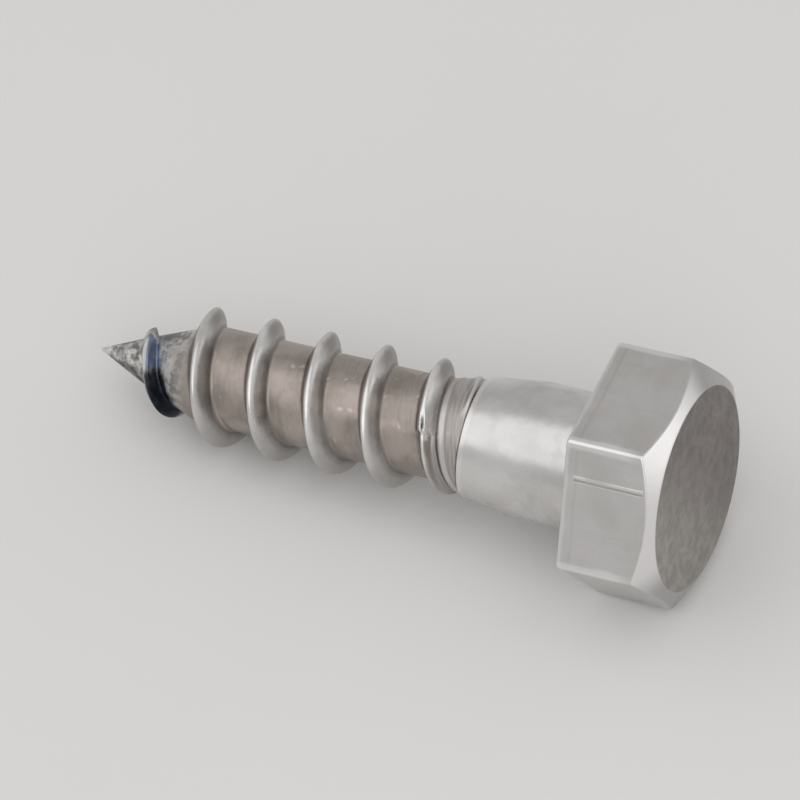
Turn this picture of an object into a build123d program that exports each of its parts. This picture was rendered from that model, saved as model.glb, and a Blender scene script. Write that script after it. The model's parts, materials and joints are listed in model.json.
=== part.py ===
"""Hexagon head coach screw, 10 mm by 40 mm, lying on a level surface as it comes to rest.

The screw is drawn standing, head up. Its axis is Z and the face under the head is at Z = 0;
a depth is a distance below that face. It is then laid down with its point toward -X, resting
on one flat of the head and on the thread's crest. Millimetres and degrees.
"""

from build123d import *
from math import atan2, ceil, cos, degrees, floor, radians, sin, sqrt, tan
import os

# Head
across_flats = 16.6
head_height = 7.0
crown_diameter = 14.9
crown_chamfer_angle = 30.0
bearing_edge_bevel = 0.35
under_head_fillet = 0.5

# Shank: plain, then a neck that narrows to a sharp edge where the thread was rolled in
screw_length = 40.0
shank_diameter = 10.0
plain_length = 5.6
neck_length = 4.4
neck_end_diameter = 8.8
neck_bow = 0.04
neck_edge_step = 0.3
run_out_length = 2.7

# Thread: one right-hand ridge around a plain core. A lower strip runs in out of the neck, and
# the full ridge starts with a step, where the rolled metal lapped over.
thread_diameter = 10.0
core_diameter = 7.4
pitch = 4.5
flank_angle = 30.0
crest_width = 0.95
crest_land = 0.5
crest_bevel_height = 0.16
first_crest_depth = 13.1
run_in_turns = 0.75
run_in_cover = 0.35
run_in_end_diameter = 9.4
lap_angle = -45.0
foot_share = 0.86

# Point: a long cone off the thread's core, then a blunter one that ends it
point_length = 8.6
core_diameter_at_point = 7.0
tip_cone_length = 3.6
tip_cone_diameter = 3.3
tip_diameter = 0.2
crest_ends_before_tip = 1.4
crest_fall_power = 0.62
ridge_stub = 0.15

sections_per_turn = 12

# Worked out from the sizes above
flat_radius = across_flats / 2
corner_radius = across_flats / sqrt(3)
crown_radius = crown_diameter / 2
shank_radius = shank_diameter / 2
neck_end_radius = neck_end_diameter / 2
neck_end_depth = plain_length + neck_length
crest_radius = thread_diameter / 2
core_radius = core_diameter / 2
core_start_depth = neck_end_depth + run_out_length
point_core_radius = core_diameter_at_point / 2
tip_cone_radius = tip_cone_diameter / 2
tip_radius = tip_diameter / 2
point_start_depth = screw_length - point_length
tip_cone_start_depth = screw_length - tip_cone_length
crest_end_depth = screw_length - crest_ends_before_tip
run_in_start_radius = neck_end_radius - run_in_cover
run_in_end_radius = run_in_end_diameter / 2
ridge_start_depth = first_crest_depth + pitch * lap_angle / 360
ridge_end_depth = crest_end_depth - ridge_stub
run_in_start_depth = ridge_start_depth - run_in_turns * pitch


def core_radius_at(depth):
    """Radius of the core where the thread runs: a slight taper, then the point's two cones."""
    if depth < point_start_depth:
        share = (depth - core_start_depth) / (point_start_depth - core_start_depth)
        return core_radius + (point_core_radius - core_radius) * max(share, 0)
    if depth < tip_cone_start_depth:
        share = (depth - point_start_depth) / (tip_cone_start_depth - point_start_depth)
        return point_core_radius + (tip_cone_radius - point_core_radius) * share
    share = (depth - tip_cone_start_depth) / tip_cone_length
    return tip_cone_radius + (tip_radius - tip_cone_radius) * share


def run_in_radius_at(depth):
    """Crest radius of the lower strip, which climbs out of the neck up to the step."""
    climb = (depth - run_in_start_depth) / (ridge_start_depth - run_in_start_depth)
    return run_in_start_radius + (run_in_end_radius - run_in_start_radius) * climb


def crest_radius_at(depth):
    """Crest radius of the full ridge, which falls along the point."""
    fall = max((depth - point_start_depth) / (crest_end_depth - point_start_depth), 0)
    return crest_radius * (1 - fall) ** crest_fall_power


def ridge_section(depth, top):
    """The ridge's cross-section at a depth, with its crest at a radius and its foot in the core."""
    turned = radians(180 - 360 * (depth - first_crest_depth) / pitch)
    outward = (cos(turned), sin(turned), 0)
    along_ridge = (-sin(turned), cos(turned), 0)
    foot = foot_share * min(core_radius_at(depth), top)
    scale = top / crest_radius
    shoulder = top - crest_bevel_height * scale
    half_land = crest_land / 2 * scale
    half_crest = crest_width / 2 * scale
    half_foot = half_crest + (shoulder - foot) * tan(radians(flank_angle))
    with BuildSketch(Plane(origin=(0, 0, -depth), x_dir=outward, z_dir=along_ridge)) as section:
        with BuildLine():
            Polyline(
                (top, -half_land),
                (shoulder, -half_crest),
                (foot, -half_foot),
                (foot, half_foot),
                (shoulder, half_crest),
                (top, half_land),
                close=True,
            )
        make_face()
    return section.sketch


def ridge_pieces(start_depth, end_depth, top_at):
    """Cross-sections of a stretch of ridge, in lists that each cover one turn or less."""
    pieces = ceil((end_depth - start_depth) / pitch)
    spacing = (end_depth - start_depth) / pieces / sections_per_turn
    for piece in range(pieces):
        steps = range(piece * sections_per_turn, (piece + 1) * sections_per_turn + 1)
        depths = [start_depth + step * spacing for step in steps]
        yield [ridge_section(depth, top_at(depth)) for depth in depths]


def tilt_on_crest(depth):
    """Tilt at which the lying screw would touch down on its head's rim and this crest."""
    land_edge = depth + crest_land / 2 * crest_radius_at(depth) / crest_radius
    return degrees(atan2(flat_radius - crest_radius_at(depth), land_edge + bearing_edge_bevel))


with BuildPart() as upright_screw:
    # Head: a hexagon with flats facing +X and -X, and a slight bevel under its rim
    with BuildSketch():
        RegularPolygon(flat_radius, 6, major_radius=False, rotation=30)
    extrude(amount=head_height)
    chamfer(edges().group_by(Axis.Z)[0], length=bearing_edge_bevel)

    # The crown's chamfer is part of a cone, so it cuts each flat in a curve.
    crown_rise = (corner_radius - crown_radius) * tan(radians(crown_chamfer_angle))
    with BuildSketch(Plane.XZ):
        with BuildLine():
            Polyline(
                (0, 0),
                (corner_radius, 0),
                (corner_radius, head_height - crown_rise),
                (crown_radius, head_height),
                (0, head_height),
                close=True,
            )
        make_face()
    revolve(axis=Axis.Z, mode=Mode.INTERSECT)

    # Shank, neck, core and point, turned in one
    neck_middle = ((shank_radius + neck_end_radius) / 2 + neck_bow, -plain_length - neck_length / 2)
    with BuildSketch(Plane.XZ):
        with BuildLine():
            Polyline((0, 0), (shank_radius, 0), (shank_radius, -plain_length))
            ThreePointArc(
                (shank_radius, -plain_length), neck_middle, (neck_end_radius, -neck_end_depth)
            )
            Polyline(
                (neck_end_radius, -neck_end_depth),
                (neck_end_radius - neck_edge_step, -neck_end_depth - neck_edge_step / 2),
                (core_radius, -core_start_depth),
                (point_core_radius, -point_start_depth),
                (tip_cone_radius, -tip_cone_start_depth),
                (tip_radius, -screw_length),
                (0, -screw_length),
                (0, 0),
            )
        make_face()
    revolve(axis=Axis.Z)
    shank_root = edges().filter_by(GeomType.CIRCLE).group_by(Axis.Z)[-2].sort_by(SortBy.RADIUS)[0]
    fillet(shank_root, radius=under_head_fillet)

    # Thread: the strip starts inside the neck, and the ridge ends inside the point.
    for sections in ridge_pieces(run_in_start_depth, ridge_start_depth, run_in_radius_at):
        loft(sections)
    for sections in ridge_pieces(ridge_start_depth, ridge_end_depth, crest_radius_at):
        loft(sections)

# Lying down, it rests on the rim of its lower flat and on the crest that meets the surface
# first, which is the one giving the smallest tilt.
turns = floor((ridge_end_depth - first_crest_depth) / pitch + 0.5)
lower_crest_depths = [first_crest_depth + (turn + 0.5) * pitch for turn in range(turns)]
resting_tilt = min(tilt_on_crest(depth) for depth in lower_crest_depths)
tilt_sine, tilt_cosine = sin(radians(resting_tilt)), cos(radians(resting_tilt))
bearing_centre_height = flat_radius * tilt_cosine - bearing_edge_bevel * tilt_sine
lying_box = upright_screw.part.rotate(Axis.Y, 90 - resting_tilt).bounding_box()

with BuildPart() as coach_screw:
    resting_place = (-lying_box.center().X, 0, bearing_centre_height)
    with Locations(Location(resting_place, (0, 90 - resting_tilt, 0))):
        add(upright_screw.part)

coach_screw.part.label = "coach_screw"
os.makedirs("parts", exist_ok=True)
export_step(coach_screw.part, "parts/coach_screw.step")
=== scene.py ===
"""Looks of the coach screw: one finely meshed steel piece over the CAD node, on a pale floor.

The screw's own coordinates are used throughout. Depth runs along its axis from the face under
the head toward the point, and is negative in the head. An angle is 0 at the top, and positive
toward the far side. Sizes are in millimetres until vertices are written, in metres.
"""

import json
from math import atan2, cos, degrees, hypot, pi, radians, sin, tan

import bpy
import numpy as np
from mathutils import Matrix, Vector, noise


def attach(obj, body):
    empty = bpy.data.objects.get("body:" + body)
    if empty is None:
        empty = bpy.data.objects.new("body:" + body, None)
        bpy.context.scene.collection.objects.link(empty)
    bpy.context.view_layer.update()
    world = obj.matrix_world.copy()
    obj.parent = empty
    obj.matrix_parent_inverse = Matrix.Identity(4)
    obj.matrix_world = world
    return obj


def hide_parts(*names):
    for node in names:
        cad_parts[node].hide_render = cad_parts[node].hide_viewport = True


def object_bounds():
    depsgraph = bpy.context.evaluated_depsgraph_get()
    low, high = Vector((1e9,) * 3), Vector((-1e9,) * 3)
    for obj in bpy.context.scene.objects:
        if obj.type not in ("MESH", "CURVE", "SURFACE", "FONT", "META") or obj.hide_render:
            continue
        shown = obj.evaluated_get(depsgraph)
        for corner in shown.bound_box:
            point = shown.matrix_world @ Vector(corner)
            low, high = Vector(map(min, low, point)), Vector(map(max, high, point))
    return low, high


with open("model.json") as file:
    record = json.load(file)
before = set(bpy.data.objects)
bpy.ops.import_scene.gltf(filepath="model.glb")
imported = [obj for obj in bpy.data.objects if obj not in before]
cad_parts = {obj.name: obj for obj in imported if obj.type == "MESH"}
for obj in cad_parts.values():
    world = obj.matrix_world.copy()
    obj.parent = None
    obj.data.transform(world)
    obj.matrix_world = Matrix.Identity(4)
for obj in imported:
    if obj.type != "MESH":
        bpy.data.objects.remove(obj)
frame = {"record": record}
cad_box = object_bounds()

MM = 0.001

# Sizes of the CAD node that the fine mesh follows
flat_radius = 8.3
head_height = 7.0
crown_radius = 7.45
crown_chamfer_angle = radians(30)
under_head_fillet = 0.5
shank_radius = 5.0
plain_length = 5.6
neck_end_depth = 10.0
neck_length = neck_end_depth - plain_length
neck_end_radius = 4.4
neck_bow = 0.04
neck_edge_step = 0.3
core_start_depth = 12.7
core_radius = 3.7
point_start_depth = 31.4
point_core_radius = 3.5
tip_cone_depth = 36.4
tip_cone_radius = 1.65
tip_radius = 0.1
screw_length = 40.0
pitch = 4.5
crest_radius = 5.0
run_in_radius = 4.05
run_in_end_radius = 4.7

# The ridge's course, by the depth of its crest
first_crest_depth = 13.1
run_in_depth = 9.16
lap_depth = 12.54
crest_fall_depth = 31.4
crest_end_depth = 38.6
crest_fall_power = 0.66
point_flank_start = (crest_fall_depth + 1, crest_fall_depth + 4)

# Head, finer than the CAD node's
corner_rounding = 0.35
rim_rounding = 0.33
rim_waviness = 0.05
rim_wave_scale = 0.9
crown_edge_rounding = 0.12
crown_edge_chamfer_share = 0.3

# Neck edge: how it slants and is ragged, and how the metal turns in under it, as distance past
# the edge and change of radius
neck_edge_slant = 0.4
neck_edge_lowest_angle = -25.0
neck_edge_raggedness = 0.04
neck_edge_wave_scale = 0.8
neck_edge_profile = [(0.0, 0.02), (0.03, 0.01), (0.06, -0.03), (0.09, -0.1), (0.11, -0.22), (0.13, -1.2)]

# Lip of rolled metal past the neck edge, and how it moves off toward the point on the far side
lip_height = 0.26
lip_half_width = 0.19
lip_climb = 1.2
lip_climb_angle = 60.0
lip_climb_power = 1.5
lip_highest_climb = 1.4
lip_starts = (-22.0, 5.0)
lip_ends = (75.0, 110.0)

# Ridge: section, unevenness along the crest, and the lower strip's share of the full width
root_rounding = 0.3
shoulder_rounding = 0.42
crest_half_width = 0.17
crest_crown = 0.03
crest_unevenness = 0.09
crest_waves = (2.3, 5.1)
smallest_ridge_scale = 0.05
strip_share = 0.55
flank_angle = radians(27)
flank_slope = 1 / tan(flank_angle)
point_flank_angle = radians(57)
point_flank_slope = 1 / tan(point_flank_angle)

# Slot in the first end of the full ridge, from the lap on
slot_centre = -0.12
slot_lean = 0.5
slot_half_width = 0.07
slot_depth = 0.3
slot_starts = (0.02, 0.06)
slot_ends = (0.16, 0.26)

# Run-out between the neck and the first ridge, and the fuller core where the point starts
run_out_fade = (core_start_depth - 1.0, core_start_depth + 0.4)
run_out_fullness = 0.1
ripple_height = 0.03
ripple_spacing = 0.62
point_fullness = 0.07

# Unevenness left by heading and rolling, as waves per millimetre, seed and height
noise_shift_per_seed = (7.31, 3.17, 5.93)
overall_waves = ((0.35, 3, 0.012), (1.4, 4, 0.005))
thread_waves = (2.2, 5, 0.012)
full_height_radius = 2.0
smallest_radius = 1e-6

# Mesh density
columns = 168
columns_per_flat = columns // 6
corner_columns = 4
rim_steps = 6
fillet_steps = 8
first_plain_row = 0.8
plain_row_spacing = 0.4
neck_rows = 24
last_neck_share = 0.985
ridge_reach = 1.25
rows_on_ridge = 36
rows_in_valley = 20
rows_per_pitch = rows_on_ridge + rows_in_valley
spare_turns_before = 2
spare_turns_after = 3

# Where the head's rings lie, as shares of the way over each of its surfaces
bearing_face_shares = (0.08, 0.35, 0.7, 0.97)
flat_shares = (0.04, 0.15, 0.3, 0.45, 0.6, 0.75, 0.88, 0.96)
edge_shares = (0.0, 0.25, 0.5, 0.75, 1.0)
chamfer_shares = (0.1, 0.35, 0.65, 0.9)
end_face_shares = (0.97, 0.85, 0.7, 0.5, 0.3, 0.12)

# The thread's mesh starts hidden inside the neck
thread_start_depth = neck_end_depth - 0.8
thread_start_radius = 3.2


def wobble(points, scale, seed):
    """Smooth noise between about -1 and 1 at each point, given in millimetres."""
    shift = Vector([seed * step for step in noise_shift_per_seed])
    return np.array([noise.noise(Vector(p) * scale + shift) for p in points])


def ease(low, high, value):
    """0 below low, 1 above high and smooth between."""
    share = np.clip((value - low) / (high - low), 0, 1)
    return share * share * (3 - 2 * share)


def hill(value, width):
    """1 at zero, falling smoothly to nothing over about twice the width."""
    return np.exp(-((value / width) ** 2))


def soft_max(a, b, width):
    """The larger of two heights, with the corner between them rounded over a width."""
    share = np.clip(0.5 + (a - b) / (2 * width), 0, 1)
    return b + (a - b) * share + width * share * (1 - share)


# The thread's surface, as radius over depth and angle


def core_radius_at(depth):
    """Radius of the core: down from the neck's step, a slight taper, then the two cones."""
    places = {
        neck_end_depth + neck_edge_step / 2: neck_end_radius - neck_edge_step,
        core_start_depth: core_radius,
        point_start_depth: point_core_radius + point_fullness,
        tip_cone_depth: tip_cone_radius,
        screw_length: tip_radius,
    }
    return np.interp(depth, list(places), list(places.values()))


def crest_radius_at(crest_depth):
    """Crest radius by the crest's own depth: a low strip, a step up at the lap, full, falling."""
    strip = np.interp(crest_depth, [run_in_depth, lap_depth], [run_in_radius, run_in_end_radius])
    fall = np.clip((crest_depth - crest_fall_depth) / (crest_end_depth - crest_fall_depth), 0, 1)
    ridge = crest_radius * (1 - fall) ** crest_fall_power
    return np.where(crest_depth < lap_depth, strip, ridge)


def lip_at(depth, angle):
    """A thin lip of rolled metal past the neck's edge, over the top and the far side."""
    climb = np.clip(angle / lip_climb_angle, 0, lip_highest_climb) ** lip_climb_power
    lip_depth = neck_end_depth + lip_climb * climb
    reach = ease(*lip_starts, angle) * (1 - ease(*lip_ends, angle))
    return lip_height * reach * hill(depth - lip_depth, lip_half_width)


def ridge_scale_at(crest_depth):
    """Size of the ridge's section against the full ridge's."""
    scale = np.clip(crest_radius_at(crest_depth) / crest_radius, smallest_ridge_scale, 1)
    return scale * np.where(crest_depth < lap_depth, strip_share, 1)


def slot_at(aside, crest_depth):
    """1 along the middle of the slot at the lap, and 0 off it."""
    past_lap = crest_depth - lap_depth
    reach = ease(*slot_starts, past_lap) * (1 - ease(*slot_ends, past_lap))
    return reach * hill(aside - slot_centre - slot_lean * past_lap, slot_half_width)


def ridge_radius(aside, crest_depth):
    """Radius over the ridge; aside is the distance from its crest, positive toward the point."""
    top = crest_radius_at(crest_depth)
    scale = ridge_scale_at(crest_depth)
    waves = np.sin(crest_depth * crest_waves[0]) * np.sin(crest_depth * crest_waves[1])
    half = crest_half_width * scale * (1 + crest_unevenness * waves)
    crown = top - crest_crown * scale * (aside / half) ** 2
    on_point = ease(*point_flank_start, crest_depth) * (aside > 0)
    slope = flank_slope + (point_flank_slope - flank_slope) * on_point
    flank = top - (np.abs(aside) - half) * slope
    ridge = -soft_max(-crown, -flank, shoulder_rounding * scale)
    return ridge - slot_depth * slot_at(aside, crest_depth)


def thread_radius(depth, angle):
    """Radius of the core, with its run-out ripples and lip, and of the ridge over it."""
    turns = (depth - first_crest_depth) / pitch - angle / 360
    aside = (turns - np.round(turns)) * pitch
    crest_depth = depth - aside
    signed_angle = (angle + 180) % 360 - 180
    near_neck = 1 - ease(*run_out_fade, depth)
    ripples = ripple_height * np.sin(aside * 2 * pi / ripple_spacing)
    run_out = near_neck * (run_out_fullness + ripples)
    core = core_radius_at(depth) + run_out + lip_at(depth, signed_angle)
    root = root_rounding * ridge_scale_at(crest_depth)
    return soft_max(ridge_radius(aside, crest_depth), core, root)


# Mesh parts


class MeshParts:
    """Collects rings of vertices and the faces between them, with a material index per face."""

    def __init__(self):
        self.vertices = []
        self.faces = []
        self.materials = []

    def add_points(self, points):
        """Adds vertices and returns their numbers."""
        first = len(self.vertices)
        self.vertices.extend(tuple(p) for p in points)
        return list(range(first, first + len(points)))

    def add_face(self, corners, material):
        """Adds a face, without the corners that fall together; what has no area is left out."""
        unique = [c for i, c in enumerate(corners) if c != corners[i - 1]]
        if len(unique) >= 3:
            self.faces.append(unique)
            self.materials.append(material)

    def bridge(self, ring, next_ring, material):
        """Faces between two rings."""
        for k in range(len(ring)):
            following = (k + 1) % len(ring)
            self.add_face([ring[k], ring[following], next_ring[following], next_ring[k]], material)

    def close(self, ring, centre, material):
        """Faces from a ring to its centre."""
        for k in range(len(ring)):
            self.add_face([ring[k], ring[(k + 1) % len(ring)], centre], material)


HEAD, SHANK, THREAD = 0, 1, 2
ring_angles = np.arange(columns) * 360 / columns


def ring_points(depth, radius, angles):
    """Points of one ring; depth and radius are numbers or one value per column."""
    turned = np.radians(angles)
    depth = np.broadcast_to(depth, turned.shape)
    return np.column_stack((-depth, radius * np.sin(turned), radius * np.cos(turned)))


def hexagon_outline():
    """Polar radius and angle of the head's outline at each column, with rounded corners."""
    half_flat = (flat_radius - corner_rounding) * tan(radians(30))
    straight_columns = columns_per_flat // 2 - corner_columns
    half_side = []
    for step in range(straight_columns + 1):
        half_side.append((flat_radius, half_flat * step / straight_columns))
    for step in range(1, corner_columns + 1):
        turn = radians(30 * step / corner_columns)
        x = flat_radius - corner_rounding + corner_rounding * cos(turn)
        half_side.append((x, half_flat + corner_rounding * sin(turn)))
    polar = [(hypot(x, y), degrees(atan2(y, x))) for x, y in half_side]
    side = polar + [(radius, 60 - angle) for radius, angle in reversed(polar[1:-1])]
    outline = [(radius, angle + 60 * flat) for flat in range(6) for radius, angle in side]
    return np.array([radius for radius, _ in outline]), np.array([angle for _, angle in outline])


def chamfer_depth_at(radius):
    """Depth of the chamfer's cone at a radius."""
    return -(head_height - (radius - crown_radius) * tan(crown_chamfer_angle))


def toward_outline(angles, share):
    """Angles between the even ones of the shank and those of the hexagon."""
    return ring_angles + (angles - ring_angles) * share


def bearing_face_rings(radius, angles, rim):
    """From the shank's fillet outward: round at first, hexagonal at the rim."""
    inner = shank_radius + under_head_fillet
    for share in bearing_face_shares:
        yield ring_points(0, inner + (radius - rim - inner) * share, toward_outline(angles, share))


def rim_rings(radius, angles, rim):
    """The soft rim under the head."""
    for step in range(rim_steps + 1):
        turn = radians(90 * step / rim_steps)
        yield ring_points(-rim + rim * cos(turn), radius - rim + rim * sin(turn), angles)


def flat_rings(radius, angles, rim):
    """The flats, up to where their rounded edge at the chamfer starts."""
    length = chamfer_depth_at(radius) + crown_edge_rounding + rim
    for share in flat_shares:
        yield ring_points(-rim + length * share, radius, angles)


def chamfer_rings(radius, angles):
    """The rounded edge where the chamfer cone cuts the flats, then the cone."""
    cut_back = np.minimum(crown_edge_rounding, (radius - crown_radius) * crown_edge_chamfer_share)
    inward = cut_back * cos(crown_chamfer_angle)
    outward = cut_back * sin(crown_chamfer_angle)
    for share in edge_shares:
        before, after = (1 - share) ** 2, share**2
        depth = chamfer_depth_at(radius) + crown_edge_rounding * before - outward * after
        yield ring_points(depth, radius - inward * after, angles)
    cone_start = radius - inward
    cone_end = crown_radius + crown_edge_rounding
    for share in chamfer_shares:
        ring_radius = cone_start + (cone_end - cone_start) * share
        yield ring_points(chamfer_depth_at(ring_radius), ring_radius, angles)


def end_face_rings(angles):
    """The rounded edge of the crown, then the end face."""
    slope = tan(crown_chamfer_angle)
    for share in edge_shares:
        before, after = (1 - share) ** 2, share**2
        ring_radius = crown_radius + crown_edge_rounding * (before - after)
        yield ring_points(-(head_height - crown_edge_rounding * before * slope), ring_radius, angles)
    face_radius = crown_radius - crown_edge_rounding
    for share in end_face_shares:
        yield ring_points(-head_height, face_radius * share, toward_outline(angles, share))


def add_head(parts, bearing_ring):
    """The head, outward from the ring at the shank and over to the middle of the end face."""
    radius, angles = hexagon_outline()
    waves = wobble(ring_points(0, radius, angles), rim_wave_scale, 1)
    rim = rim_rounding + waves * rim_waviness
    rings = [
        *bearing_face_rings(radius, angles, rim),
        *rim_rings(radius, angles, rim),
        *flat_rings(radius, angles, rim),
        *chamfer_rings(radius, angles),
        *end_face_rings(angles),
    ]
    previous = bearing_ring
    for points in rings:
        ring = parts.add_points(points)
        parts.bridge(ring, previous, HEAD)
        previous = ring
    centre = parts.add_points([(head_height, 0, 0)])[0]
    parts.close(list(reversed(previous)), centre, HEAD)


def neck_edge_depths():
    """Depth of the neck's sharp edge at each column: it slants, and it is a little ragged."""
    slant = neck_edge_slant * np.cos(np.radians(ring_angles - neck_edge_lowest_angle))
    waves = wobble(ring_points(neck_end_depth, neck_end_radius, ring_angles), neck_edge_wave_scale, 2)
    return neck_end_depth - slant + neck_edge_raggedness * waves


def shank_profile():
    """Depth and radius of each ring of the shank, before the neck's edge is slanted."""
    rows = []
    for step in range(fillet_steps + 1):
        turn = radians(90 * step / fillet_steps)
        rise = under_head_fillet * (1 - sin(turn))
        rows.append((under_head_fillet * (1 - cos(turn)), shank_radius + rise))
    rows += [(depth, shank_radius) for depth in np.arange(first_plain_row, plain_length, plain_row_spacing)]
    for share in np.linspace(0, last_neck_share, neck_rows):
        bow = 4 * neck_bow * share * (1 - share)
        radius = shank_radius + (neck_end_radius - shank_radius) * share + bow
        rows.append((plain_length + neck_length * share, radius))
    rows += [(neck_end_depth + ahead, neck_end_radius + rise) for ahead, rise in neck_edge_profile]
    return rows


def add_shank(parts):
    """Fillet, plain shank and neck, which turns in under its edge. Returns the first ring."""
    stretch = (neck_edge_depths() - plain_length) / neck_length
    first = previous = None
    for depth, radius in shank_profile():
        depths = np.where(depth > plain_length, plain_length + (depth - plain_length) * stretch, depth)
        ring = parts.add_points(ring_points(depths, radius, ring_angles))
        if previous:
            parts.bridge(previous, ring, SHANK)
        else:
            first = ring
        previous = ring
    centre = parts.add_points([(-neck_end_depth, 0, 0)])[0]
    parts.close(previous, centre, SHANK)
    return first


def row_offsets():
    """Offsets from a crest of the mesh rows in one pitch, closer together across the ridge."""
    on_ridge = np.linspace(-ridge_reach, ridge_reach, rows_on_ridge)
    valley_step = (pitch - 2 * ridge_reach) / (rows_in_valley + 1)
    in_valley = ridge_reach + valley_step * np.arange(1, rows_in_valley + 1)
    in_valley = np.where(in_valley > pitch / 2, in_valley - pitch, in_valley)
    return np.sort(np.concatenate([on_ridge, in_valley]))


def thread_grid():
    """Depth and point at each row and column of a grid whose rows follow the helix."""
    last_turn = int((screw_length - first_crest_depth) / pitch)
    turns = range(-spare_turns_before, last_turn + spare_turns_after)
    row_depths = np.concatenate([first_crest_depth + turn * pitch + row_offsets() for turn in turns])
    depth = row_depths[:, None] + pitch * ring_angles[None, :] / 360
    angle = np.broadcast_to(ring_angles[None, :], depth.shape)
    radius = thread_radius(np.clip(depth, thread_start_depth, screw_length), angle)
    turned = np.radians(angle)
    return depth, np.stack((-depth, radius * np.sin(turned), radius * np.cos(turned)), axis=-1)


def add_thread(parts):
    """Core, ridge and point; rows past the ends close up on the start ring or the tip."""
    depth, points = thread_grid()
    tip = parts.add_points([(-screw_length, 0, 0)])[0]
    start_ring = parts.add_points(ring_points(thread_start_depth, thread_start_radius, ring_angles))
    index = np.zeros(depth.shape, int)
    for row in range(depth.shape[0]):
        for column in range(columns):
            if depth[row, column] <= thread_start_depth:
                index[row, column] = start_ring[column]
            elif depth[row, column] >= screw_length:
                index[row, column] = tip
            else:
                index[row, column] = parts.add_points([points[row, column]])[0]
    for row in range(depth.shape[0] - 1 - rows_per_pitch):
        for column in range(columns):
            wraps = column + 1 == columns
            next_row = row + rows_per_pitch if wraps else row
            next_column = 0 if wraps else column + 1
            corners = [
                index[row, column],
                index[next_row, next_column],
                index[next_row + 1, next_column],
                index[row + 1, column],
            ]
            parts.add_face([int(c) for c in corners], THREAD)
    centre = parts.add_points([(-thread_start_depth, 0, 0)])[0]
    parts.close(list(reversed(start_ring)), centre, THREAD)


def roughen(vertices):
    """Moves vertices in or out by hundredths of a millimetre, as heading and rolling leave them."""
    points = np.array(vertices)
    rise = sum(wobble(points, waves, seed) * height for waves, seed, height in overall_waves)
    waves, seed, height = thread_waves
    in_thread = ease(neck_end_depth, core_start_depth, -points[:, 0])
    rise = rise + in_thread * wobble(points, waves, seed) * height
    radius = np.maximum(np.hypot(points[:, 1], points[:, 2]), smallest_radius)
    scale = 1 + rise * np.clip(radius / full_height_radius, 0, 1) / radius
    points[:, 1] *= scale
    points[:, 2] *= scale
    return points


def build_screw(placement, materials):
    """The whole screw as one object, with the materials in the order of the face indices."""
    parts = MeshParts()
    bearing_ring = add_shank(parts)
    add_head(parts, bearing_ring)
    add_thread(parts)
    mesh = bpy.data.meshes.new("coach_screw_steel")
    mesh.from_pydata((roughen(parts.vertices) * MM).tolist(), [], parts.faces)
    mesh.transform(placement)
    for material in materials:
        mesh.materials.append(material)
    mesh.polygons.foreach_set("material_index", parts.materials)
    mesh.polygons.foreach_set("use_smooth", [True] * len(mesh.polygons))
    mesh.update()
    piece = bpy.data.objects.new("coach_screw_steel", mesh)
    bpy.context.collection.objects.link(piece)
    piece.modifiers.new("even_normals", "WEIGHTED_NORMAL")
    return piece


def screw_placement():
    """Where the screw's own coordinates lie in the row frame, read from its shank mount."""
    shank_mount = next(m for m in frame["record"]["mounts"] if m["name"] == "shank")
    axis = Vector(shank_mount["axis"]).normalized()
    mount_depth = (under_head_fillet + plain_length) / 2 * MM
    bearing_centre = Vector(shank_mount["pos_m"]) - axis * mount_depth
    tilt = atan2(-axis.z, -axis.x)
    return Matrix.Translation(bearing_centre) @ Matrix.Rotation(-tilt, 4, "Y")


# Materials

# Sockets of a mix node in its colour mode
MIX_SHARE, MIX_FIRST, MIX_SECOND, MIX_RESULT = 0, 6, 7, 2

# Pairs below are where a mark starts and ends, or where it fades in or out. Marks on the head,
# by depth, radius and angle
chamfer_apex_height = head_height + crown_radius * tan(crown_chamfer_angle)
rim_line_depths = (-1.02, -0.9)
# Painted highlight along the head's corners, by radius and depth
corner_highlight_radii = (9.28, 9.42)
corner_highlight_depths = (-6.4, -4.2)
# Painted shade on the chamfer round the far side and underneath, by angle
shaded_chamfer_far = (12.0, 32.0)
shaded_chamfer_below = (-114.0, -86.0)

# End face: its paler part, a painted reflection, fades out toward the far side's top, in millimetres that
# way
reflection_direction = (0.8, 0.55)
reflection_fade = (-3.0, 5.0)
reflection_raggedness = 4.0

# Gouge along the front flat, across it from its middle toward the top corner
front_flat_angle = radians(-60)
gouge_depths = (-5.9, -0.9)
gouge_floor_across = (1.91, 2.02)
gouge_bank_across = (2.17, 2.25)

# Marks on the neck and past its edge, by depth, angle and distance from the crest
# Painted highlights on the neck, then along its edge
neck_highlight_fade = (plain_length - 1.5, plain_length + 2)
neck_highlight_angles = (-75.0, -35.0)
neck_edge_highlight_band = (-0.3, 0.02)
# Painted shade in the crease under the neck's edge
crease_past_edge = (0.06, 0.17)
run_out_end = (core_start_depth - 1.2, core_start_depth - 0.3)
run_out_strip = (-1.4, -1.12)
lip_band = (-0.1, 0.12)
lip_angles = (-12.0, 80.0)

# Marks on the ridge, by distance from its crest, negative toward the head; past the lap the crest's
# bright band of wear and painted highlight reaches further that way
crest_head_side = 0.5
crest_head_fade = (-0.22, 0.0)
crest_tip_fade = (0.2, 0.35)
# Painted shade on the flank toward the head and at both feet of the ridge
head_flank_shade = (-0.76, -0.45)
head_foot_shade = (-0.9, -0.8)
tip_foot_shade = (0.4, 0.75)
# Painted shade on the crest's head side over the top
head_side_shade_asides = (-0.35, -0.05)

# Painted shade on the crest by angle, and where it is less worn, by the crest's depth toward the point
crest_shade_far = (0.0, 50.0)
crest_shade_below = (-110.0, -50.0)
head_side_shade_angles = (-8.0, 28.0)
less_worn_depths = (28.5, 31.5)

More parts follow.
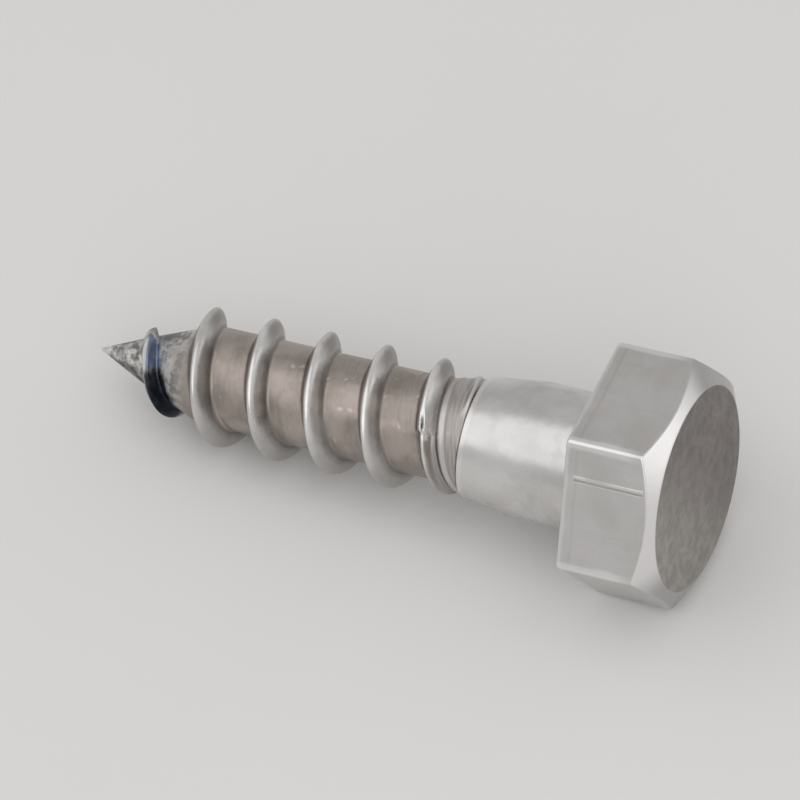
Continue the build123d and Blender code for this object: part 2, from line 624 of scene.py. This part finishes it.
# Seam and slot at the lap: painted highlight on the seam, painted shade in the slot
seam_depths = (lap_depth - 0.06, lap_depth + 0.3)
seam_fade = (0.12, 0.2)
slot_shade_depths = (lap_depth + 0.06, lap_depth + 0.14)
slot_shade_fade = (0.03, 0.11)

# Point: mottled, less so on the ridge's last flank, then grey, and with a painted dark reflection at these
# angles
mottling_start = (31.6, 33.0)
last_flank = (0.0, 0.85)
point_grey_start = (34.4, 35.2)
dark_reflection_far = (40.0, 75.0)
dark_reflection_below = (-135.0, -92.0)
burr_start = (screw_length - 1.0, screw_length - 0.6)

# Heat tint on the last turn, and a painted shadow past it on the far side, by the crest's depth,
# distance from the crest and angle
tint_crests = (33.9, 35.7)
blue_asides = (-0.6, 0.05)
blue_angles = (-44.0, -2.0)
black_asides = (-0.95, 0.2)
black_angles = (-62.0, -40.0)
shadow_crests = (35.5, 36.6)
shadow_asides = (-2.4, -0.4)
shadow_angles = (35.0, 60.0)
edge_highlight_crests = (34.6, 35.8)
edge_highlight_asides = (0.12, 0.4)
edge_highlight_angles = (-48.0, -8.0)


class Shading:
    """A material's node tree, with short calls for the nodes that it uses."""

    def __init__(self, name):
        self.material = bpy.data.materials.new(name)
        self.material.use_nodes = True
        self.nodes = self.material.node_tree.nodes
        self.links = self.material.node_tree.links
        self.shader = self.nodes["Principled BSDF"]

    def add(self, kind, inputs=(), **settings):
        node = self.nodes.new(kind)
        for key, value in settings.items():
            setattr(node, key, value)
        for key, value in dict(inputs).items():
            self.feed(node.inputs[key], value)
        return node

    def feed(self, socket, value):
        if isinstance(value, bpy.types.NodeSocket):
            self.links.new(value, socket)
        else:
            socket.default_value = value

    def math(self, operation, a, b=0.0):
        node = self.add("ShaderNodeMath", operation=operation)
        for socket, value in zip(node.inputs, (a, b)):
            self.feed(socket, value)
        return node.outputs[0]

    def plus(self, a, b):
        return self.math("ADD", a, b)

    def minus(self, a, b):
        return self.math("SUBTRACT", a, b)

    def both(self, *masks):
        """The product of several masks or numbers."""
        product = masks[0]
        for mask in masks[1:]:
            product = self.math("MULTIPLY", product, mask)
        return product

    def between(self, value, low, high, out_low=0.0, out_high=1.0):
        """out_low below low, out_high above high and smooth between."""
        ends = {"Value": value, "From Min": low, "From Max": high, "To Min": out_low, "To Max": out_high}
        return self.add("ShaderNodeMapRange", ends, interpolation_type="SMOOTHSTEP").outputs["Result"]

    def below(self, value, low, high):
        """1 below low, 0 above high and smooth between."""
        return self.between(value, low, high, 1.0, 0.0)

    def band(self, value, low, high, edge):
        """1 from low to high, falling to 0 over an edge outside them."""
        return self.both(self.between(value, low - edge, low), self.below(value, high, high + edge))

    def mix(self, share, a, b):
        node = self.add("ShaderNodeMix", data_type="RGBA")
        self.feed(node.inputs[MIX_SHARE], share)
        for socket, value in ((node.inputs[MIX_FIRST], a), (node.inputs[MIX_SECOND], b)):
            self.feed(socket, (*value, 1) if isinstance(value, tuple) else value)
        return node.outputs[MIX_RESULT]

    def over(self, tone, colour, *masks):
        """A colour laid over a tone, as far as the product of the masks lets it."""
        return self.mix(self.both(*masks), tone, colour)

    def noise(self, vector, scale, detail=4.0, roughness=0.55):
        inputs = {"Vector": vector, "Scale": scale, "Detail": detail, "Roughness": roughness}
        return self.add("ShaderNodeTexNoise", inputs).outputs["Fac"]

    def bump(self, height, strength, distance, normal=None):
        """Bump over a distance in millimetres, on top of an earlier one."""
        inputs = {"Height": height, "Strength": strength, "Distance": distance * MM}
        node = self.add("ShaderNodeBump", inputs)
        if normal is not None:
            self.feed(node.inputs["Normal"], normal)
        return node.outputs["Normal"]


class SteelShading(Shading):
    """Shading with the screw's own coordinates: the place in metres, depth, radius and angle."""

    def __init__(self, name):
        super().__init__(name)
        row_place = self.add("ShaderNodeTexCoord").outputs["Object"]
        mapping = self.add("ShaderNodeMapping", {"Vector": row_place}, vector_type="TEXTURE")
        mapping.inputs["Location"].default_value = placement.translation
        mapping.inputs["Rotation"].default_value = placement.to_euler()
        self.place = mapping.outputs["Vector"]
        axis = self.add("ShaderNodeSeparateXYZ", {"Vector": self.place})
        along, self.far, self.up = (axis.outputs[name] for name in "XYZ")
        self.depth = self.both(along, -1 / MM)
        square = self.plus(self.both(self.far, self.far), self.both(self.up, self.up))
        self.radius = self.both(self.math("SQRT", square), 1 / MM)
        self.angle = self.both(self.math("ARCTAN2", self.far, self.up), 180 / pi)

    def drawn_noise(self, along, across, detail, roughness):
        """Noise with its own scale along the axis and across it, so that it draws out one way."""
        scaled = self.add("ShaderNodeVectorMath", operation="MULTIPLY")
        self.feed(scaled.inputs[0], self.place)
        scaled.inputs[1].default_value = (along, across, across)
        return self.noise(scaled.outputs[0], 1.0, detail, roughness)

    def finish(self, tone, roughness, normal):
        inputs = {"Base Color": tone, "Roughness": roughness, "Normal": normal, "Metallic": 1.0}
        for name, value in inputs.items():
            self.feed(self.shader.inputs[name], value)
        return self.material


class ThreadShading(SteelShading):
    """Adds the place on the ridge, and the noises that several of the thread's marks share."""

    def __init__(self, name):
        super().__init__(name)
        pitches = self.math("DIVIDE", self.minus(self.depth, first_crest_depth), pitch)
        turns = self.minus(pitches, self.math("DIVIDE", self.angle, 360.0))
        self.aside = self.both(self.minus(turns, self.math("ROUND", turns)), pitch)
        self.crest_depth = self.minus(self.depth, self.aside)
        self.cloud = self.noise(self.place, 420.0, 5.0, 0.62)
        self.lines = self.rolled_lines(26.0, 9.0)
        self.smudge = self.drawn_noise(300, 240, 4.0, 0.55)
        self.ragged = self.both(self.minus(self.cloud, 0.5), 0.35)
        self.uneven_aside = self.plus(self.aside, self.ragged)

    def rolled_lines(self, across_cells, along_cells):
        """Noise drawn out along the helix, with so many cells across a pitch and in a turn."""
        turns = self.minus(self.math("DIVIDE", self.depth, pitch), self.math("DIVIDE", self.angle, 360.0))
        phase = self.both(turns, 2 * pi)
        turned = self.both(self.angle, pi / 180)
        across, along = across_cells / (2 * pi), along_cells / (2 * pi)
        vector = self.add("ShaderNodeCombineXYZ")
        self.feed(vector.inputs["X"], self.both(self.math("COSINE", phase), across))
        self.feed(vector.inputs["Y"], self.both(self.math("SINE", phase), across))
        round_screw = self.both(self.math("COSINE", turned), along)
        self.feed(vector.inputs["Z"], self.plus(round_screw, self.depth))
        inputs = {
            "Vector": vector.outputs["Vector"],
            "W": self.both(self.math("SINE", turned), along),
            "Scale": 1.0,
            "Detail": 4.0,
            "Roughness": 0.6,
        }
        return self.add("ShaderNodeTexNoise", inputs, noise_dimensions="4D").outputs["Fac"]


def front_flat_place(s):
    """Millimetres across the front flat, from its middle toward the top corner, and outward."""
    sine, cosine = sin(front_flat_angle) / MM, cos(front_flat_angle) / MM
    across = s.minus(s.both(s.far, cosine), s.both(s.up, sine))
    outward = s.plus(s.both(s.far, sine), s.both(s.up, cosine))
    return across, outward


def flats_tone(s, cloud, lines, trimming, rim_place, on_flat):
    """Satin, with faint lines both ways, a thin dark line by the rim and the front flat paler as painted
    light.
    """
    tone = s.mix(s.between(cloud, 0.35, 0.68), (0.575, 0.56, 0.55), (0.63, 0.615, 0.61))
    tone = s.over(tone, (0.42, 0.405, 0.395), s.between(lines, 0.5, 0.72), 0.13)
    tone = s.over(tone, (0.72, 0.705, 0.70), s.between(trimming, 0.55, 0.7), 0.14)
    tone = s.over(tone, (0.30, 0.285, 0.275), s.band(rim_place, *rim_line_depths, 0.1), 0.16)
    # Painted light: the front flat paler than the others
    return s.over(tone, (0.76, 0.75, 0.745), on_flat, 0.22)


def chamfer_tone(s, tone):
    """Paler than the flats as a painted highlight, with painted shade round the far side and underneath."""
    cone_depth = s.minus(s.both(s.radius, tan(crown_chamfer_angle)), chamfer_apex_height)
    chamfer = s.below(s.minus(s.depth, cone_depth), -0.02, 0.1)
    # Painted highlight on the chamfer
    tone = s.over(tone, (0.88, 0.865, 0.865), chamfer, 0.9)
    shaded_sides = s.plus(s.between(s.angle, *shaded_chamfer_far), s.below(s.angle, *shaded_chamfer_below))
    return s.over(tone, (0.33, 0.325, 0.33), chamfer, shaded_sides, 0.8)


def end_face_tone(s, forge_marks):
    """Dull and finely mottled as forged, dark and a little warm also as painted shade, and paler toward the
    near, lower side as a painted reflection.
    """
    mottling = s.between(forge_marks, 0.36, 0.66)
    tone = s.mix(mottling, (0.155, 0.136, 0.127), (0.245, 0.22, 0.206))
    # Paler tone of the painted reflection
    reflected_tone = s.mix(mottling, (0.375, 0.35, 0.332), (0.54, 0.505, 0.48))
    far_share, up_share = reflection_direction
    slant = s.plus(s.both(s.far, far_share / MM), s.both(s.up, up_share / MM))
    slant = s.plus(slant, s.both(forge_marks, reflection_raggedness))
    return s.mix(s.between(slant, *reflection_fade, 0.7, 0.0), tone, reflected_tone)


def gouge_masks(s, across, on_flat, rim_place, trimming, cloud):
    """The gouge's floor, for painted shade, and its bank toward the top corner, for a painted highlight."""
    wear = s.both(s.between(trimming, 0.36, 0.52, 0.55, 1.0), s.between(cloud, 0.4, 0.55, 0.55, 1.0))
    reach = s.both(on_flat, s.band(rim_place, *gouge_depths, 0.25), wear)
    floor = s.both(reach, s.band(across, *gouge_floor_across, 0.09))
    bank = s.both(reach, s.band(across, *gouge_bank_across, 0.09))
    return floor, bank


def head_steel():
    """Trimmed and satin: faint lines along the axis, a duller forged end face with painted shade, and
    painted highlights on the edges.
    """
    s = SteelShading("head_steel")
    lines = s.drawn_noise(90, 2600, 5.0, 0.6)
    trimming = s.drawn_noise(3000, 160, 3.0, 0.6)
    forge_marks = s.drawn_noise(500, 1100, 6.0, 0.68)
    cloud = s.noise(s.place, 300.0, 5.0, 0.6)
    grain = s.noise(s.place, 5200.0, 3.0, 0.6)
    ragged = s.both(s.minus(cloud, 0.5), 0.5)
    rim_place = s.plus(s.depth, ragged)
    across, outward = front_flat_place(s)
    on_flat = s.between(outward, flat_radius - 0.12, flat_radius - 0.06)
    on_end = s.below(s.depth, -head_height + 0.01, -head_height + 0.05)
    rim = s.between(rim_place, -rim_rounding - 0.15, -rim_rounding + 0.05)
    corner_highlight = s.between(s.plus(s.radius, s.both(ragged, 0.4)), *corner_highlight_radii)
    gouge_floor, gouge_bank = gouge_masks(s, across, on_flat, rim_place, trimming, cloud)

    tone = flats_tone(s, cloud, lines, trimming, rim_place, on_flat)
    tone = chamfer_tone(s, tone)
    tone = s.over(tone, end_face_tone(s, forge_marks), on_end, 0.95)
    # Painted highlights on the rounded rim under the head and along the corners
    tone = s.over(tone, (0.80, 0.79, 0.785), rim, 0.6)
    tone = s.over(tone, (0.86, 0.855, 0.85), corner_highlight, s.between(s.depth, *corner_highlight_depths), 0.75)
    # Painted shade in the gouge's floor and a painted highlight on its bank
    tone = s.over(tone, (0.27, 0.255, 0.245), gouge_floor, 0.5)
    tone = s.over(tone, (0.84, 0.83, 0.82), gouge_bank, 0.65)
    rough = s.plus(s.between(cloud, 0.3, 0.7, 0.27, 0.35), s.both(on_end, 0.09))
    normal = s.bump(lines, 0.12, 0.02)
    normal = s.bump(s.minus(gouge_bank, gouge_floor), 0.4, 0.06, normal)
    normal = s.bump(s.both(forge_marks, on_end), 0.3, 0.06, normal)
    return s.finish(tone, rough, s.bump(grain, 0.15, 0.01, normal))


def beyond_neck_edge(s):
    """Millimetres past the neck's edge, toward the point; the edge slants as the mesh's does."""
    turned = s.both(s.minus(s.angle, neck_edge_lowest_angle), pi / 180)
    slant = s.both(s.math("COSINE", turned), neck_edge_slant)
    return s.plus(s.minus(s.depth, neck_end_depth), slant)


def shank_steel():
    """Drawn wire: bright satin with faint mottling, fine marks around it, and painted highlights on the
    neck and along its edge.
    """
    s = SteelShading("shank_steel")
    cloud = s.drawn_noise(260, 420, 4.0, 0.55)
    rings = s.drawn_noise(3800, 120, 4.0, 0.6)
    patches = s.noise(s.place, 620.0, 3.0, 0.5)
    grain = s.noise(s.place, 2800.0, 4.0, 0.6)
    neck_highlight = s.both(s.between(s.depth, *neck_highlight_fade), s.band(s.angle, *neck_highlight_angles, 25.0))
    edge = s.band(beyond_neck_edge(s), *neck_edge_highlight_band, 0.1)

    tone = s.mix(s.between(cloud, 0.32, 0.7), (0.60, 0.585, 0.578), (0.69, 0.68, 0.675))
    tone = s.over(tone, (0.49, 0.483, 0.475), s.between(patches, 0.52, 0.68), 0.35)
    tone = s.over(tone, (0.74, 0.73, 0.725), s.between(rings, 0.56, 0.7), 0.2)
    # Painted highlights on the neck and along its edge
    tone = s.over(tone, (0.80, 0.79, 0.785), neck_highlight, 0.5)
    tone = s.over(tone, (0.82, 0.81, 0.805), edge, 0.5)
    rough = s.between(patches, 0.35, 0.7, 0.25, 0.33)
    normal = s.bump(rings, 0.10, 0.01)
    normal = s.bump(cloud, 0.12, 0.05, normal)
    return s.finish(tone, rough, s.bump(grain, 0.12, 0.01, normal))


def core_tone(s):
    """Warm and dull, the warmth in part a painted reflection, with dark rolled lines, paler smudges and a
    few pale flecks.
    """
    flecks = s.noise(s.place, 900.0, 2.0, 0.5)
    tone = s.mix(s.between(s.cloud, 0.3, 0.7), (0.315, 0.274, 0.246), (0.43, 0.383, 0.352))
    tone = s.over(tone, (0.24, 0.208, 0.186), s.between(s.lines, 0.46, 0.62), 0.25)
    tone = s.over(tone, (0.49, 0.428, 0.396), s.between(s.smudge, 0.48, 0.62), 0.7)
    return s.over(tone, (0.66, 0.62, 0.59), s.between(flecks, 0.66, 0.73), 0.6)


def run_out_tone(s, tone):
    """Between the neck and the first ridge: greyer than the core, in strips along the helix."""
    zone = s.below(s.depth, *run_out_end)
    greys = s.mix(s.between(s.lines, 0.4, 0.62), (0.40, 0.375, 0.362), (0.54, 0.515, 0.502))
    tone = s.over(tone, greys, zone, 0.8)
    return s.over(tone, (0.70, 0.685, 0.68), zone, s.band(s.aside, *run_out_strip, 0.14), 0.6)


def lip_tone(s, tone):
    """The pale lip past the neck's edge, and painted shade in the crease under the edge."""
    from_start = s.math("MAXIMUM", s.math("DIVIDE", s.angle, lip_climb_angle), 0.0)
    climb = s.both(s.math("POWER", from_start, lip_climb_power), lip_climb)
    lip_place = s.minus(s.minus(s.depth, neck_end_depth), climb)
    lip = s.both(s.band(lip_place, *lip_band, 0.12), s.band(s.angle, *lip_angles, 15.0))
    tone = s.over(tone, (0.72, 0.70, 0.695), lip, 0.75)
    # Painted shade in the crease under the edge
    crease_shade = s.band(beyond_neck_edge(s), *crease_past_edge, 0.1)
    return s.over(tone, (0.12, 0.105, 0.095), crease_shade, 0.85)


def ridge_shade_tone(s, tone):
    """Painted shade on the flank toward the head, and in dark lines at both feet of the ridge."""
    tone = s.over(tone, (0.40, 0.385, 0.375), s.band(s.uneven_aside, *head_flank_shade, 0.14), 0.8)
    near_neck = s.below(s.depth, core_start_depth - 0.4, core_start_depth + 0.8)
    darkness = s.plus(s.both(near_neck, 0.35), 0.5)
    tone = s.over(tone, (0.14, 0.124, 0.114), s.band(s.uneven_aside, *head_foot_shade, 0.09), darkness)
    return s.over(tone, (0.16, 0.14, 0.125), s.band(s.uneven_aside, *tip_foot_shade, 0.14), 0.6)


def crest_mask(s):
    """The crest's bright band of wear and painted highlight; past the lap it reaches further toward the
    head.
    """
    full_ridge = s.between(s.crest_depth, lap_depth - 0.08, lap_depth + 0.02)
    from_head_side = s.plus(s.uneven_aside, s.both(full_ridge, crest_head_side))
    return s.both(s.between(from_head_side, *crest_head_fade), s.below(s.uneven_aside, *crest_tip_fade))


def crest_wear_and_highlight_tone(s):
    """Bright from wear and painted highlight, with painted shade over the far side and underneath, duller
    toward the point, and painted shade on its head side over the top.
    """
    wear_and_highlight = s.mix(s.between(s.cloud, 0.35, 0.65), (0.74, 0.73, 0.725), (0.90, 0.89, 0.885))
    crest_shade_sides = s.plus(s.between(s.angle, *crest_shade_far), s.below(s.angle, *crest_shade_below))
    # Painted shade over the far side and underneath
    wear_and_highlight = s.over(wear_and_highlight, (0.42, 0.405, 0.395), crest_shade_sides, 0.7)
    wear_and_highlight = s.over(wear_and_highlight, (0.47, 0.46, 0.45), s.between(s.crest_depth, *less_worn_depths), 0.45)
    # Painted shade on the head side over the top and the far side
    crest_head_side_shade = s.both(s.between(s.angle, *head_side_shade_angles), s.below(s.uneven_aside, *head_side_shade_asides))
    return s.over(wear_and_highlight, (0.19, 0.177, 0.168), crest_head_side_shade, 0.8)


def lap_tone(s, tone):
    """Where the full ridge starts: painted shade in the slot, and a painted highlight on the seam on both
    sides.
    """
    slot_middle = s.plus(s.both(s.minus(s.crest_depth, lap_depth), slot_lean), slot_centre)
    from_slot = s.math("ABSOLUTE", s.minus(s.aside, slot_middle))
    seam_highlight = s.both(s.below(from_slot, *seam_fade), s.band(s.crest_depth, *seam_depths, 0.05))
    tone = s.over(tone, (0.82, 0.81, 0.80), seam_highlight, 0.8)
    slot_shade = s.below(s.plus(from_slot, s.ragged), *slot_shade_fade)
    slot_shade = s.both(slot_shade, s.band(s.crest_depth, *slot_shade_depths, 0.07))
    return s.over(tone, (0.13, 0.118, 0.108), slot_shade, 0.85)


def cone_tone(s, tone, ragged_angle):
    """Mottled toward the point, then grey, with a painted dark reflection over the far side and underneath.
    """
    speckle = s.noise(s.place, 1250.0, 4.0, 0.62)
    off_last_flank = s.minus(1.0, s.both(s.band(s.aside, *last_flank, 0.3), 0.75))
    patchy = s.between(s.cloud, 0.38, 0.5, 0.5, 0.9)
    mottled = s.mix(s.between(speckle, 0.4, 0.58), (0.27, 0.265, 0.262), (0.62, 0.615, 0.61))
    tone = s.over(tone, mottled, s.between(s.depth, *mottling_start), patchy, off_last_flank)
    point = s.between(s.minus(s.depth, s.both(s.angle, pitch / 360)), *point_grey_start)
    grey = s.mix(s.between(speckle, 0.42, 0.6), (0.20, 0.203, 0.197), (0.64, 0.64, 0.625))
    tone = s.over(tone, grey, point, 0.85)
    dark_reflection = s.plus(s.band(ragged_angle, *dark_reflection_far, 30.0), s.band(ragged_angle, *dark_reflection_below, 22.0))
    return s.over(tone, (0.075, 0.075, 0.078), point, dark_reflection, 0.7)


def heat_tint_and_shadow(s, tone, ragged, ragged_angle):
    """Blue and black on the last turn of the ridge, and a dark shadow on the far side."""
    uneven = s.plus(s.aside, ragged)
    past_turn = s.both(s.band(s.crest_depth, *shadow_crests, 0.3), s.band(uneven, *shadow_asides, 0.4))
    shadow = s.both(past_turn, s.band(ragged_angle, *shadow_angles, 35.0))
    on_turn = s.band(s.crest_depth, *tint_crests, 0.3)
    blue = s.both(on_turn, s.band(uneven, *blue_asides, 0.28), s.band(ragged_angle, *blue_angles, 20.0))
    black = s.both(on_turn, s.band(uneven, *black_asides, 0.2), s.below(ragged_angle, *black_angles))
    blues = s.mix(s.between(s.smudge, 0.42, 0.6), (0.07, 0.115, 0.25), (0.22, 0.28, 0.42))
    blacks = s.mix(s.between(s.cloud, 0.45, 0.6), (0.012, 0.014, 0.022), (0.03, 0.042, 0.075))
    # Painted shadow on the far side
    tone = s.over(tone, (0.07, 0.078, 0.11), shadow, 0.75)
    tone = s.over(tone, blues, blue, 0.9)
    return s.over(tone, blacks, black, 0.95)


def point_tone(s, tone):
    """Grey with the heat tint, a painted highlight on the edge of the last turn and a bright burr at the
    tip.
    """
    ragged = s.both(s.minus(s.cloud, 0.5), 0.5)
    ragged_angle = s.plus(s.angle, s.both(ragged, 160.0))
    tone = cone_tone(s, tone, ragged_angle)
    tone = heat_tint_and_shadow(s, tone, ragged, ragged_angle)
    # Painted highlight on the edge of the last turn
    edge = s.both(s.band(s.aside, *edge_highlight_asides, 0.12), s.band(s.angle, *edge_highlight_angles, 12.0))
    edge = s.both(edge, s.band(s.crest_depth, *edge_highlight_crests, 0.2))
    tone = s.over(tone, (0.88, 0.875, 0.87), edge, 0.8)
    return s.over(tone, (0.85, 0.85, 0.84), s.between(s.depth, *burr_start), 0.75)


def thread_steel():
    """Rolled thread: crests bright from wear and painted highlight, painted shade at their feet, and a warm
    dull core with streaks.
    """
    s = ThreadShading("thread_steel")
    pits = s.noise(s.place, 1500.0, 3.0, 0.6)
    on_cone = s.between(s.depth, tip_cone_depth - 1.0, tip_cone_depth)
    facets = s.both(s.noise(s.place, 1100.0, 2.0, 0.4), on_cone)
    crest = crest_mask(s)

    tone = run_out_tone(s, core_tone(s))
    tone = ridge_shade_tone(s, lip_tone(s, tone))
    tone = s.over(tone, crest_wear_and_highlight_tone(s), crest, 0.92)
    tone = point_tone(s, lap_tone(s, tone))
    rough = s.minus(s.between(s.cloud, 0.3, 0.7, 0.34, 0.46), s.both(crest, 0.08))
    normal = s.bump(pits, 0.25, 0.03)
    normal = s.bump(s.both(s.lines, s.minus(1.0, crest)), 0.22, 0.05, normal)
    normal = s.bump(facets, 1.0, 0.5, normal)
    return s.finish(tone, rough, s.bump(s.cloud, 0.55, 0.08, normal))


def pale_floor():
    """Matt and pale, with a trace of unevenness."""
    s = Shading("pale_floor")
    place = s.add("ShaderNodeTexCoord").outputs["Object"]
    tone = s.mix(s.noise(place, 30.0), (0.74, 0.735, 0.727), (0.77, 0.765, 0.757))
    s.feed(s.shader.inputs["Base Color"], tone)
    s.shader.inputs["Roughness"].default_value = 0.85
    s.shader.inputs["Specular IOR Level"].default_value = 0.2
    return s.material


# Floor, light and camera

floor_half_size = 1.5
softboxes = {
    "above": {"place": (-0.12, -0.17, 0.38), "aim": (-0.12, 0, 0), "size": (1.4, 0.62), "power": 1.42},
    "right": {"place": (0.50, 0.16, 0.09), "aim": (0, 0, 0), "size": (0.4, 0.2), "power": 0.175},
    "front": {"place": (0.34, -0.50, 0.42), "aim": (0, 0, 0), "size": (0.42, 0.42), "power": 0.34},
}
world_level = 0.57
world_colour = (1.0, 0.99, 0.975, 1)

# The photograph's camera, from the centre of the bearing face, and its view of the screw
camera_from_bearing = Vector((156.1, -342.7, 472.1)) * MM
camera_roll = radians(-4.1)
frame_pixels = 800
screw_width_share = 0.8
photo_focal_pixels = 4200
photo_screw_pixels = 315
sensor_width = 36.0


def add_floor():
    mesh = bpy.data.meshes.new("floor")
    h = floor_half_size
    mesh.from_pydata([(-h, -h, 0), (h, -h, 0), (h, h, 0), (-h, h, 0)], [], [(0, 1, 2, 3)])
    mesh.materials.append(pale_floor())
    floor = bpy.data.objects.new("floor", mesh)
    bpy.context.collection.objects.link(floor)


def add_softbox(name, place, aim, size, power):
    light = bpy.data.lights.new(name, "AREA")
    light.shape = "RECTANGLE"
    light.size, light.size_y = size
    light.energy = power
    lamp = bpy.data.objects.new(name, light)
    lamp.location = place
    lamp.rotation_euler = (Vector(aim) - Vector(place)).to_track_quat("-Z", "Y").to_euler()
    bpy.context.collection.objects.link(lamp)


def add_world():
    world = bpy.data.worlds.new("studio")
    world.use_nodes = True
    background = world.node_tree.nodes["Background"]
    background.inputs["Color"].default_value = world_colour
    background.inputs["Strength"].default_value = world_level
    bpy.context.scene.world = world


def add_camera(placement):
    data = bpy.data.cameras.new("camera")
    data.sensor_width = sensor_width
    focal_pixels = photo_focal_pixels * screw_width_share * frame_pixels / photo_screw_pixels
    data.lens = focal_pixels / frame_pixels * sensor_width
    camera = bpy.data.objects.new("camera", data)
    eye = placement.translation + camera_from_bearing
    low, high = cad_box
    middle = Vector([(a + b) / 2 for a, b in zip(low, high)])
    looking = (middle - eye).to_track_quat("-Z", "Y").to_matrix().to_4x4()
    camera.matrix_world = Matrix.Translation(eye) @ looking @ Matrix.Rotation(camera_roll, 4, "Z")
    bpy.context.collection.objects.link(camera)
    bpy.context.scene.camera = camera


placement = screw_placement()
screw = build_screw(placement, [head_steel(), shank_steel(), thread_steel()])
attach(screw, "root")
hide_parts("coach_screw")

add_floor()
for name, box in softboxes.items():
    add_softbox(name, **box)
add_world()
add_camera(placement)
bpy.context.scene.view_settings.view_transform = "Standard"
